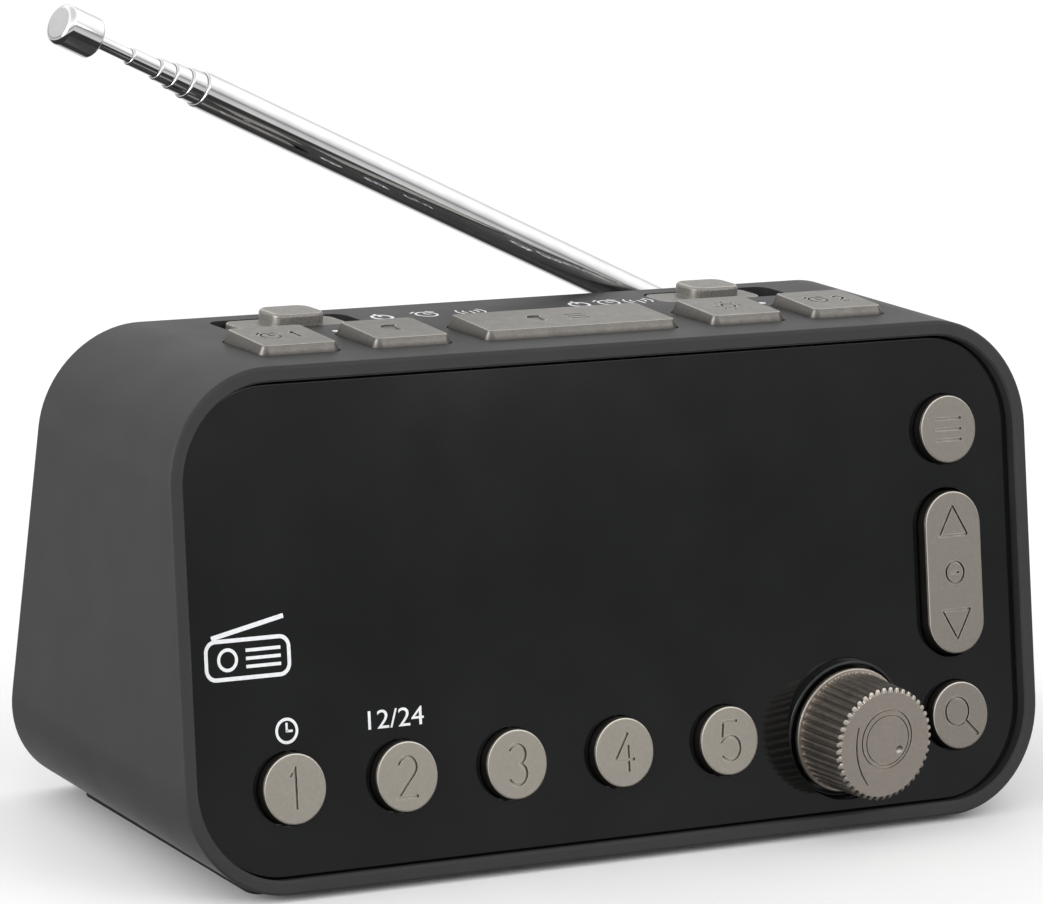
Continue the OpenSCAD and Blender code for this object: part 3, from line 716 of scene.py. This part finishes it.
def build_lens():
    plate = placed(slab(LENS_W, LENS_H, LENS_CORNER, LENS_BACK, LENS_FRONT, 0.25), shift(0, FACE_H / 2))
    return cut(plate, *key_holes(-6, 2))


piece("lens_panel", build_lens(), ON_FACE, LENS, "housing", "front_lens", slot="lens")


def build_prints():
    """White prints on the lens: a radio, a clock and the two ways of telling the hours."""
    z0, z1 = LENS_FRONT - PRINT_SUNK, LENS_FRONT + PRINT_PROUD
    case = frame_prism(rounded(14.6, 6.2, 1.9), rounded(13.4, 5.0, 1.3), z0, z1)
    speaker = placed(ring(1.5, z0, z1, 0.5, 48), shift(-3.4, 0))
    rod = strokes(z0, z1, (-6.0, 3.3, 6.3, 5.8), width=0.7)
    lines = strokes(z0, z1, *[(-0.3, v, 5.6, v) for v in (-1.2, 0, 1.2)], width=0.5)
    radio = at([case, speaker] + rod + lines, *RADIO_AT)
    hands = strokes(z0, z1, (0, -0.2, 0, 1.2), (-0.1, -0.05, 1.0, -0.05))
    clock = at([ring(1.725, z0, z1, 0.45)] + hands, *CLOCK_AT)
    wide = Matrix.Scale(1.18, 4, (1, 0, 0))
    hours = placed(digits("12/24", 2.8, z0, z1), shift(*HOURS_AT) @ wide)
    return joined(*radio, *clock, hours)


piece("lens_prints", build_prints(), ON_FACE, WHITE, "housing", slot="lens")


# ---- keys of the face ----


def button(marks):
    """A round button with its flange and stem, and with marks cut into its face."""
    profile = [(STEM_R, STEM_END), (STEM_R, BUTTON_SEAT - 1), (BUTTON_R + FLANGE, BUTTON_SEAT - 1)]
    profile += [(BUTTON_R + FLANGE, BUTTON_SEAT), (BUTTON_R, BUTTON_SEAT)]
    profile += round_end(BUTTON_R, BUTTON_FRONT, 0.4)
    return cut(lathe(profile), *marks)


def face_marks(make, *sizes):
    """Cutters that engrave a mark into a round button."""
    return make(*sizes, BUTTON_FRONT - ENGRAVED, BUTTON_FRONT + 1)


for i, u in enumerate(PRESETS):
    marks = face_marks(figure, str(i + 1), 6.0)
    piece(f"preset_{i + 1}_button", button(marks), ON_FACE @ shift(u, ROW_V), NICKEL, f"preset_{i + 1}",
          f"preset_key_{i + 1}", slot="button_nickel", rim_highlight=NICKEL_RIM_HIGHLIGHT, side=NICKEL_SIDE_SHADE)

piece("mode_button", button(face_marks(bars_mark, 5.0)), ON_FACE @ shift(COLUMN_U, MODE_V), COLUMN_SHADED_NICKEL,
      "mode", "mode_key", slot="button_nickel", rim_highlight=NICKEL_RIM_HIGHLIGHT, side=NICKEL_SIDE_SHADE)
piece("search_button", button(face_marks(glass_mark, 2.2)), ON_FACE @ shift(COLUMN_U, ROW_V), COLUMN_SHADED_NICKEL,
      "search", "search_key", slot="button_nickel", rim_highlight=NICKEL_RIM_HIGHLIGHT, side=NICKEL_SIDE_SHADE)


def build_rocker():
    """The long key that tips about an axle behind it, with an arrow at each end."""
    marks = at(triangle_mark(3.1, -ENGRAVED, 1), 0, ARROW_V)
    marks += at(triangle_mark(3.1, -ENGRAVED, 1, up=False), 0, -ARROW_V)
    marks.append(ring(1.7, -ENGRAVED, 1))
    marks += strokes(-ENGRAVED, 1, (-0.8, 0, 0.8, 0))
    key = cut(slab(2 * BUTTON_R, ROCKER_LEN, BUTTON_R - 0.1, FRAME_BACK - 1.6, 0, 0.4), *marks)
    profile = [(STEM_R, STEM_END), (STEM_R, FRAME_BACK - 1.5)]
    stems = [placed(lathe(profile, 24), shift(0, ROCKER_STEM * way)) for way in (-1, 1)]
    axle = lathe([(1, -BUTTON_R - 2.2), (1, BUTTON_R + 2.2)], 32)
    placed(axle, shift(0, 0, ROCKER_AXIS) @ turn(90, "Y"))
    return joined(key, axle, *stems)


piece("rocker_button", build_rocker(), ON_FACE @ shift(COLUMN_U, ROCKER_V), COLUMN_SHADED_NICKEL, "rocker", "rocker_key",
      slot="button_nickel", rim_highlight=NICKEL_RIM_HIGHLIGHT, side=NICKEL_SIDE_SHADE)


# ---- volume knob ----

RIBS, RIB_STEPS = 44, 8
BASE_R, ROOT_R, TIP_R, KNOB_BASE = 9.9, 9.3, 8.95, 1.2
BORE_R, BORE_END = 3.02, 8.5
COLLAR_HOLE, COLLAR_BACK, COLLAR_FLOOR, COLLAR_FRONT = 3.6, -6.0, -1.4, 0.1
# How deep the side lies at each step from one groove to the next
GROOVE = [0.62, 0.42, 0.1, 0, 0, 0, 0.1, 0.42]


def ribbed(r, z):
    """The knob's outline at a height, with its grooves."""
    points = []
    for k in range(RIBS * RIB_STEPS):
        a = 2 * pi * k / (RIBS * RIB_STEPS)
        here = r - GROOVE[k % RIB_STEPS]
        points.append((here * cos(a), here * sin(a), z))
    return points


def build_knob():
    """A knob that narrows to its end, which has two rings, a curve and a dimple in it."""
    steps = RIBS * RIB_STEPS
    rings = [[(x, y, 0.4) for x, y in circle(BASE_R - 0.1, steps)]]
    rings += [[(x, y, z) for x, y in circle(r, steps)] for r, z in round_end(BASE_R, KNOB_BASE, 0.25)]
    rings.append([(x, y, KNOB_BASE) for x, y in circle(ROOT_R + 0.02, steps)])
    rings += [ribbed(ROOT_R, KNOB_BASE + 0.05), ribbed(TIP_R, KNOB_OUT - 0.35)]
    rings.append([(x, y, KNOB_OUT) for x, y in circle(TIP_R - 0.7, steps)])
    body = loft(rings)
    low, high = KNOB_OUT - ENGRAVED, KNOB_OUT + 1
    cuts = [
        prism(circle(BORE_R, 48), -1, BORE_END),
        placed(ring(4.65, low, high, 0.24, 96), shift(0.3, 0.8)),
        placed(ring(3.95, low, high, 0.2, 96), shift(0.45, 0.65)),
        prism(ribbon(bend(5.6, 0.9, 11, 168, 221), 0.32), low, high),
    ]
    dimple = bmesh.new()
    bmesh.ops.create_icosphere(dimple, subdivisions=3, radius=0.8)
    cuts.append(placed(dimple, shift(2.8, -1.1, KNOB_OUT + 0.4)))
    return cut(body, *cuts)


piece("volume_knob_cap", build_knob(), ON_KNOB, KNOB, "volume", "volume_knob", slot="button_nickel",
      crisp=28, rim_highlight=KNOB_RIM_HIGHLIGHT, side=KNOB_SIDE_SHADE)


def build_collar():
    """The ring round the knob's foot, with a floor that the shaft comes through."""
    inner = BASE_R + 0.35
    profile = [(COLLAR_HOLE, COLLAR_BACK), (COLLAR_R, COLLAR_BACK)] + round_end(COLLAR_R, COLLAR_FRONT, 0.3)
    profile += [(inner + 0.2, COLLAR_FRONT), (inner, COLLAR_FRONT - 0.2)]
    profile += [(inner, COLLAR_FLOOR), (COLLAR_HOLE, COLLAR_FLOOR)]
    return lathe(profile, hollow=True)


piece("collar_ring", build_collar(), ON_KNOB, COLLAR, "housing", "knob_collar", slot="black_plastic")


# ---- keys and slides of the top ----


def top_key(w, marks):
    """A key with leaning sides. Its cap is level, so it stands higher at the back."""
    cap = slab(w, KEY_D, KEY_CORNER, KEY_SEAT, KEY_OUT, 0.3, lean=KEY_LEAN)
    for vert in cap.verts:
        if vert.co.z > 0.5:
            vert.co.z += vert.co.y * tan(radians(TOP_FALL))
    cap = cut(cap, *marks)
    low, wider = KEY_SEAT - PLATE_T, 2 * KEY_FLANGE
    flange = slab(w + wider, KEY_D + wider, KEY_CORNER, low, KEY_SEAT, 0.05)
    stem = lathe([(STEM_R, KEY_SEAT - 2.45), (STEM_R, low)], 24)
    return joined(cap, flange, stem)


def top_marks():
    """Cutters for the marks of the five keys: a first alarm, sleep, snooze, light and a second alarm."""
    low, high = KEY_OUT - TOP_ENGRAVED, KEY_OUT + 1
    alarms = []
    for number in ("1", "2"):
        clock = at(clock_mark(1.5, low, high), -1.9, 0)
        alarms.append(clock + at(figure(number, 2.8, low, high), 2.4, 0))
    snooze = at(moon_mark(1.9, low, high), -4.5, 0) + at(bars_mark(3.4, low, high), 2.5, 0)
    return [alarms[0], moon_mark(2.1, low, high), snooze, sun_mark(1.1, low, high), alarms[1]]


TOP_KEYS = ["alarm_1", "sleep", "snooze", "light", "alarm_2"]
for name, x, w, marks in zip(TOP_KEYS, KEY_X, KEY_W, top_marks()):
    piece(f"{name}_cap_shell", top_key(w, marks), ON_TOP @ shift(x, KEY_MID_Y), KEYS, f"{name}_cap",
          f"{name}_key", slot="key_paint", rim_highlight=KEY_RIM_HIGHLIGHT, side=KEY_SIDE_SHADE)


def slide_plate():
    """The plate in a slot, its wider foot under the top, and the peg that moves the switch."""
    upper = slab(PLATE_LEN, PLATE_W, PLATE_CORNER, KEY_SEAT, -0.05, 0.2)
    lower = slab(PLATE_LEN, PLATE_W + 1.8, PLATE_CORNER, KEY_SEAT - PLATE_T, KEY_SEAT, 0.05)
    peg = prism(rounded(PEG, PEG, 0.1, 2), PEG_END, KEY_SEAT - PLATE_T)
    return joined(upper, lower, peg)


for i, x in enumerate(PLATE_X):
    plane = ON_TOP @ shift(x, SLOT_Y)
    body = f"alarm_{i + 1}_switch"
    piece(f"slide_plate_{i + 1}", slide_plate(), plane, KEYS, body, f"alarm_{i + 1}_slider",
          slot="key_paint")
    cap = slab(CAP_SIZE, PLATE_W, SLOT_CORNER, -0.05, CAP_OUT, 0.6)
    piece(f"slide_cap_{i + 1}", cap, plane @ shift(CAP_SHIFT, 0), SPARKLE, body, slot="key_paint",
          rim_highlight=KEY_RIM_HIGHLIGHT)


# The first sign beside each slot, how far its signs are apart, and the point in front of it
SIGNS = ((-22.5, 8.0, -35.5), (13.6, 5.5, 42.9))
SIGN_Y, POINT_Y, POINT_R = SLOT_Y - 1, 21.7, 0.6


def build_top_prints():
    """White signs beside each slot, off, bell and radio, and a point in front of it."""
    z0, z1 = -PRINT_SUNK, PRINT_PROUD
    solids = []
    for start, step, point in SIGNS:
        off = [ring(1.6, z0, z1, 0.5)] + strokes(z0, z1, (0, 0.3, 0, 2.5), width=0.5)
        solids += at(off, start, SIGN_Y)
        solids += at(clock_mark(1.7, z0, z1), start + step, SIGN_Y)
        solids += at(waves_mark(1.8, z0, z1), start + 2 * step, SIGN_Y)
        solids += at([prism(circle(POINT_R, 32), z0, z1)], point, POINT_Y)
    return joined(*solids)


piece("top_prints", build_top_prints(), ON_TOP, WHITE, "housing", slot="cabinet_paint")


# ---- back ----


def cover_hole(outline, x, y):
    """A cutter of that outline through the cover."""
    return placed(prism(outline, COVER_IN - 1, COVER_OUT + 1), shift(x, y))


def build_cover():
    """The plate that closes the back, with its grille and its holes for jacks, aerial and screws."""
    inset = WALL + COVER_GAP
    plate = slab(REAR_W - 2 * inset, REAR_H - 2 * inset, REAR_CORNER - inset, COVER_IN, COVER_OUT, 0.3)
    placed(plate, shift(0, REAR_H / 2))
    cutters = []
    for y in range(2 - GRILLE_R, GRILLE_R, GRILLE_STEP):
        half = sqrt(GRILLE_R * GRILLE_R - y * y)
        outline = rounded(2 * half, GRILLE_SLOT, GRILLE_SLOT / 2 - 0.01, 8)
        cutters.append(cover_hole(outline, SPEAKER_AT[0], SPEAKER_AT[1] + y))
    cutters += [cover_hole(circle(r, 64), x, JACK_V) for x, r in JACKS]
    cutters.append(cover_hole(circle(SHAFT_HOLE, 48), -AERIAL_X, AERIAL_V))
    for corner in CORNERS:
        place = screw_place(*corner)
        cutters.append(placed(prism(circle(RECESS_R, 48), COVER_OUT - 1, COVER_OUT + 1), place))
        cutters.append(placed(prism(circle(SCREW_HOLE, 32), COVER_IN - 1, COVER_OUT), place))
    return cut(plate, *cutters)


piece("back_panel", build_cover(), ON_BACK, COVER, "housing", "rear_cover", slot="cover_plastic")


def screw():
    """A screw with a cross in its head."""
    profile = [(SCREW_R, SCREW_END), (SCREW_R, HEAD_SEAT), (HEAD_R, HEAD_SEAT)]
    profile += round_end(HEAD_R, HEAD_FRONT, 0.35)
    arm = bar(-CROSS_ARM, 0, CROSS_ARM, 0, CROSS_W)
    cross = [placed(prism(arm, CROSS_FLOOR, 0), turn(angle, "Z")) for angle in (0, 90)]
    return cut(lathe(profile, 48), *cross)


def build_screws():
    """The four screws, each turned its own way."""
    solids = []
    for side, row in CORNERS:
        solids.append(placed(screw(), screw_place(side, row) @ turn(25 * side + 40 * row, "Z")))
    return joined(*solids)


piece("cover_screws", build_screws(), ON_BACK, DARK_STEEL, "housing", "rear_screws", slot="black_steel")


def build_feet():
    """Two rubber strips with shallow grooves across them."""
    solids = []
    for way in (-1, 1):
        strip = slab(FOOT_W, FOOT_D, 2, -FOOT_H - 0.6, 0, 0.25)
        outline = rounded(FOOT_W - 1.6, 0.6, 0.25, 4)
        grooves = [placed(prism(outline, -0.3, 1), shift(0, y)) for y in range(-22, 23, FOOT_STEP)]
        solids.append(placed(cut(strip, *grooves), shift(FOOT_X * way, SET_BACK) @ turn(180, "Y")))
    return joined(*solids)


piece("foot_pads", build_feet(), Matrix.Identity(4), RUBBER, "housing", "foot_strips", slot="foot_rubber")


# ---- aerial ----

# A cheek's outline shrinks by the first of each pair at the depth of the second, which rounds its edges
CHEEK_LEVELS = ((0.03, 0), (0, 0.1), (0, 2.9), (0.03, 3.05), (0.08, 3.1))


def cheek(way):
    """A plate of the fork, with a round end and a hole for the pin."""
    profile = [(-CHEEK_R, CHEEK_FOOT - AERIAL_OUT), (CHEEK_R, CHEEK_FOOT - AERIAL_OUT)]
    profile += bend(0, 0, CHEEK_R, 0, 180, 24)
    rings = [
        [(x * (1 - inset), way * (CHEEK_FROM + depth), z * (1 - inset)) for x, z in profile]
        for inset, depth in CHEEK_LEVELS
    ]
    return cut(loft(rings), placed(prism(circle(PIN_HOLE, 32), -7, 7), turn(90, "X")))


def build_aerial_base():
    """The swivel disc with its shaft, and the two cheeks that hold the tube."""
    profile = [(SHAFT_R, COVER_IN - 3.6), (SHAFT_R, -0.5), (SWIVEL_R, -0.5)]
    disc = placed(lathe(profile + round_end(SWIVEL_R, 0.9, 0.35)), shift(0, 0, -AERIAL_OUT))
    return joined(disc, *[cheek(way) for way in (-1, 1)])


piece("aerial_swivel_base", build_aerial_base(), ON_AERIAL, CHROME, "aerial_fork", "aerial_base",
      slot="aerial_chrome")


def tube(i):
    """One tube of the aerial, with a rounded mouth."""
    start, end = TUBE_ENDS[i]
    r, hole = TUBE_R[i], TUBE_R[i] - TUBE_WALL
    profile = [(hole, start), (r, start)] + round_end(r, end, 0.28) + [(hole, end)]
    return lathe(profile, 64, hollow=True)


def build_first_tube():
    """The widest tube, with the solid root and the tongue that the pin goes through."""
    root = lathe([(2.3, 4.4), (2.9, 4.9), (2.9, 6.0)], 64)
    tongue = prism(moved(rounded(7.0, 4.8, 2.39, 12), 1.1, 0), -1.2, 1.2)
    tongue = cut(tongue, prism(circle(1.25, 32), -2, 2))
    return joined(tube(0), root, placed(tongue, turn(-90, "Y") @ turn(90, "X")))


AERIAL_BODIES = ["aerial_root", "aerial_stage_2", "aerial_stage_3", "aerial_stage_4", "aerial_stage_5"]
for i, body in enumerate(AERIAL_BODIES):
    solid = build_first_tube() if i == 0 else tube(i)
    piece(f"aerial_sleeve_{i + 1}", solid, ALONG_AERIAL, CHROME, body, f"aerial_tube_{i + 1}",
          slot="aerial_chrome")


def build_aerial_tip():
    """The knob at the end of the rod, rounded at both ends."""
    foot = [(r, 2 * AERIAL_CAP - z) for r, z in reversed(round_end(CAP_R, AERIAL_CAP, 0.5))]
    return lathe(foot + round_end(CAP_R, AERIAL_LEN, 0.9), 96)


piece("aerial_end_knob", build_aerial_tip(), ALONG_AERIAL, CHROME, "aerial_tip", "aerial_cap",
      slot="aerial_chrome")


# ---- everything else keeps its CAD shape and gets a finish by its slot ----

FINISHES = {
    "lens": LENS,
    "black_plastic": BLACK,
    "cover_plastic": COVER,
    "bright_steel": STEEL,
    "aerial_chrome": CHROME,
    "black_steel": DARK_STEEL,
    "board": plain("solder_resist", (10, 66, 36), (16, 84, 48), low=0.25, high=0.35),
    "display": plain("display_glass", (14, 18, 26), (20, 24, 32), low=0.06, high=0.12, size=8),
    "diffuser": plain("diffuser", (214, 214, 206), (228, 228, 220), low=0.4, high=0.5),
    "switch_plastic": plain("switch_plastic", (24, 24, 24), (34, 34, 34)),
    "tin": plain("tinned_sheet", (176, 178, 180), (200, 202, 204), metallic=0.9, low=0.25, high=0.4),
    "sleeve_film": plain("capacitor_film", (26, 32, 76), (34, 42, 92), low=0.2, high=0.3),
    "cable": plain("flat_cable", (206, 206, 200), (222, 222, 216)),
    "wire": plain("wire_insulation", (150, 24, 22), (172, 32, 28)),
    "basket_steel": plain("basket_paint", (48, 48, 50), (60, 60, 62), metallic=0.3),
    "magnet": plain("ferrite", (48, 48, 50), (66, 66, 68), low=0.6, high=0.75),
    "paper": plain("cone_paper", (26, 26, 26), (38, 38, 38), low=0.8, high=0.9, size=0.6),
}
replaced_slots = {"cabinet_paint", "foot_rubber", "button_nickel", "key_paint"}
for subpart in frame["record"]["subparts"]:
    name, slot_name = subpart["node"], subpart["material_slot"]
    if slot_name not in replaced_slots:
        mesh = frame["nodes"][name].data
        mesh.materials.clear()
        mesh.materials.append(FINISHES[slot_name])


# ---- room, light and camera ----


def floor():
    """A pale sheet that reaches past every view of the camera."""
    bpy.ops.mesh.primitive_plane_add(size=30, location=(0, 0, 0))
    sheet = bpy.context.object
    sheet.name = "floor"
    finish = Finish("floor_paper", specular=0.2)
    finish.shades((252, 252, 252), (255, 255, 255), 40).rough(0.8, 0.9, 20).grain(2, 0.01)
    sheet.data.materials.append(finish.material)
    sheet.visible_glossy = False


SKY = 1.33
# Brightness against the sine of the height above the horizon. The floor hides the part below the horizon
# from the camera, and reflections show it
SKY_STEPS = [
    (-1.0, 0.03), (-0.32, 0.03), (-0.24, 0.55), (0.0, 0.45),
    (0.12, 0.2), (0.25, 0.55), (0.5, 1.0), (0.9, 0.62),
]
# The way from the camera to the backdrop, and its brightness
BACKDROP, BACKDROP_SHADE = (0.554, 0.832, 0.0), 0.6


def sky():
    """Soft light from overhead, a dim room round the horizon, and a pale backdrop behind the radio."""
    world = bpy.data.worlds.new("studio")
    world.use_nodes = True
    bpy.context.scene.world = world
    tree = world.node_tree
    place = tree.nodes.new("ShaderNodeTexCoord")
    split = tree.nodes.new("ShaderNodeSeparateXYZ")
    height = tree.nodes.new("ShaderNodeMapRange")
    height.inputs["From Min"].default_value = -1.0
    ramp = tree.nodes.new("ShaderNodeValToRGB")
    steps = ramp.color_ramp.elements
    steps.remove(steps[1])
    steps[0].position = 0.0
    for i, (z, shade) in enumerate(SKY_STEPS):
        step = steps[0] if i == 0 else steps.new((z + 1) / 2)
        step.color = (shade, shade, shade, 1)
    tree.links.new(place.outputs["Generated"], split.inputs["Vector"])
    tree.links.new(split.outputs["Z"], height.inputs["Value"])
    tree.links.new(height.outputs["Result"], ramp.inputs["Fac"])
    ahead = tree.nodes.new("ShaderNodeVectorMath")
    ahead.operation = "DOT_PRODUCT"
    ahead.inputs[1].default_value = BACKDROP
    near = tree.nodes.new("ShaderNodeMapRange")
    near.inputs["From Min"].default_value, near.inputs["From Max"].default_value = 0.5, 0.75
    near.inputs["To Max"].default_value = BACKDROP_SHADE
    both = tree.nodes.new("ShaderNodeMix")
    both.data_type, both.blend_type = "RGBA", "LIGHTEN"
    both.inputs["Factor"].default_value = 1.0
    tree.links.new(place.outputs["Generated"], ahead.inputs[0])
    tree.links.new(ahead.outputs["Value"], near.inputs["Value"])
    tree.links.new(ramp.outputs["Color"], both.inputs["A"])
    tree.links.new(near.outputs["Result"], both.inputs["B"])
    tree.links.new(both.outputs["Result"], tree.nodes["Background"].inputs["Color"])
    tree.nodes["Background"].inputs["Strength"].default_value = SKY


def lamp(name, place, size, power, target=(0, 0, 0.04)):
    """A round lamp that points at the middle of the radio."""
    light = bpy.data.lights.new(name, "AREA")
    light.shape, light.size, light.energy = "DISK", size, power
    thing = bpy.data.objects.new(name, light)
    thing.location = place
    thing.rotation_euler = (Vector(place) - Vector(target)).to_track_quat("Z", "Y").to_euler()
    bpy.context.scene.collection.objects.link(thing)


# How far the camera looks round from straight ahead and down, and how far it is rolled, in degrees
CAMERA_ROUND, CAMERA_DOWN, CAMERA_ROLL = 33.631, 14.023, 4.562
# Metres in the frame, millimetres of lens, and a part of the picture's width
CAMERA_PLACE, CAMERA_LENS, CAMERA_RISE = (-0.51965, -0.77118, 0.28704), 215.64, 0.0086


def camera():
    """Looks at the radio from its left and from above, with a long lens."""
    lens = bpy.data.cameras.new("camera")
    lens.sensor_width, lens.lens = 36.0, CAMERA_LENS
    lens.shift_y = CAMERA_RISE
    lens.clip_end = 20
    thing = bpy.data.objects.new("camera", lens)
    aim = turn(-CAMERA_ROUND, "Z") @ turn(90 - CAMERA_DOWN, "X") @ turn(CAMERA_ROLL, "Z")
    thing.matrix_world = shift(*CAMERA_PLACE) @ aim
    bpy.context.scene.collection.objects.link(thing)
    bpy.context.scene.camera = thing


floor()
sky()
lamp("key", (-1.15, 0.0, 0.35), size=0.8, power=7.5)
lamp("fill", (0.6, -0.93, 0.55), size=0.6, power=1.1)
camera()
bpy.context.scene.view_settings.view_transform = "Standard"
